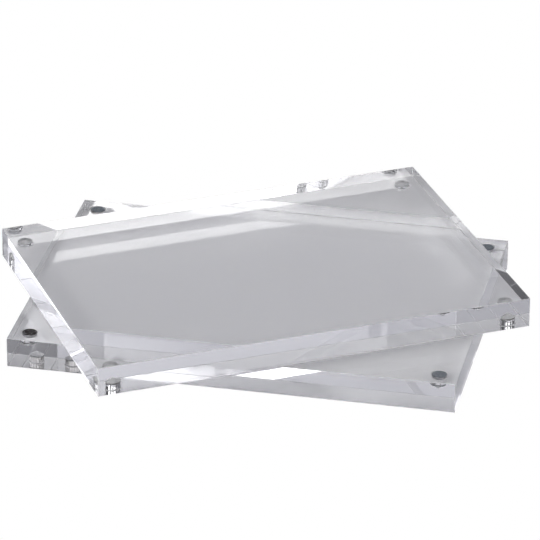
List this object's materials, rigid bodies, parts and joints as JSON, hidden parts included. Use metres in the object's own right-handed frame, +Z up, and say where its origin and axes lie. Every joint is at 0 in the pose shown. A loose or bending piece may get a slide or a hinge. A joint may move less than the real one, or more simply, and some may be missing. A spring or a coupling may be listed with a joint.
{
  "type": "magnetic photo frame",
  "caption": "Clear acrylic block photo frame: a front and a back block that close face to face on disc magnets set in their corners, lying fanned open one on the other.",
  "frame": {"origin": "centre of the back block's outer face, which is the lowest point of the frame as it lies", "axes": "+X along the back block's long side, +Y along its short side, +Z up through the thickness towards the front block"},
  "size_m": [0.218, 0.2012, 0.0245],
  "materials": {
    "clear_acrylic": "clear cast acrylic sheet with diamond-polished edges",
    "nickel_plating": "bright nickel plate on a sintered magnet"
  },
  "bodies": {
    "back_half": {"back_block": "clear_acrylic", "back_magnet_near_left": "nickel_plating", "back_magnet_near_right": "nickel_plating", "back_magnet_far_left": "nickel_plating", "back_magnet_far_right": "nickel_plating"},
    "front_half": {"front_block": "clear_acrylic", "front_magnet_near_left": "nickel_plating", "front_magnet_near_right": "nickel_plating", "front_magnet_far_left": "nickel_plating", "front_magnet_far_right": "nickel_plating"}
  },
  "joints": [
    {"name": "swivel", "type": "hinge", "parent": "back_half", "child": "front_half", "pos_m": [0.0031, -0.0007, 0.01225], "axis": [0, 0, 1], "range_deg": [-31.5, 148.5]}
  ]
}
